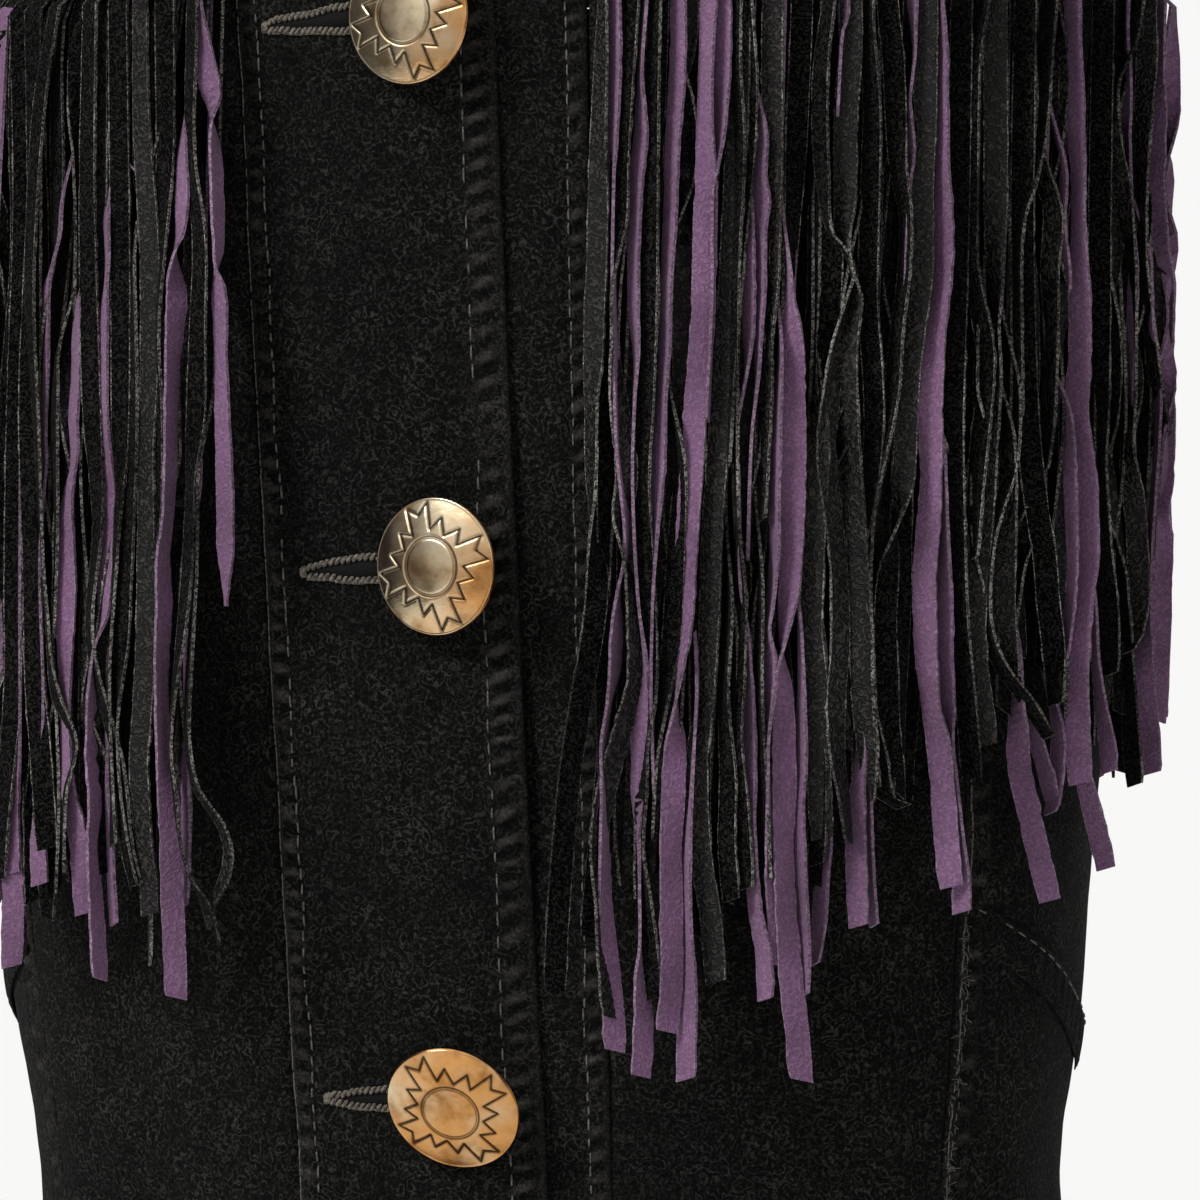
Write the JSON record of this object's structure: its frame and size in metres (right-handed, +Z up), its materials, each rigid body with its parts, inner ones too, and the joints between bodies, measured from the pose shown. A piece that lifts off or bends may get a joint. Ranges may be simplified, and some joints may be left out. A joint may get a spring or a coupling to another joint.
{
  "type": "fringed denim jacket",
  "caption": "Worn black denim jacket, hollow, with princess seams, domed brass concho buttons and a deep black and purple leather fringe hanging from the yoke seam.",
  "frame": {"origin": "between the high points of the shoulders, at the neck ends of the shoulder seams, where the wearer carries the jacket", "axes": "+Z up, the front faces -Y, the wearer's left sleeve points to +X"},
  "size_m": [1.4096, 0.2414, 0.6747],
  "materials": {
    "denim": "worn black cotton denim with a soft brushed face and pale topstitching",
    "black_leather": "black leather strands, grain on one side and suede on the other, with pale cut edges",
    "purple_suede": "dusty purple suede strands",
    "brass": "worn warm brass, domed and engraved with a sunburst"
  },
  "bodies": {
    "root": {"front_centre_right": "denim", "front_centre_left": "denim", "front_mid_left": "denim", "front_mid_right": "denim", "side_left": "denim", "side_right": "denim", "back": "denim", "front_yoke_left": "denim", "front_yoke_right": "denim", "back_yoke": "denim", "sleeve_left": "denim", "sleeve_right": "denim", "cuff_left": "denim", "cuff_right": "denim", "collar_stand": "denim", "collar_leaf": "denim", "welt_left": "denim", "welt_right": "denim", "concho_1": "brass", "concho_2": "brass", "concho_3": "brass", "concho_4": "brass", "fringe_purple_front_left": "purple_suede", "fringe_purple_back": "purple_suede", "fringe_purple_front_right": "purple_suede", "fringe_black_front_left": "black_leather", "fringe_black_back": "black_leather", "fringe_black_front_right": "black_leather"}
  },
  "joints": []
}
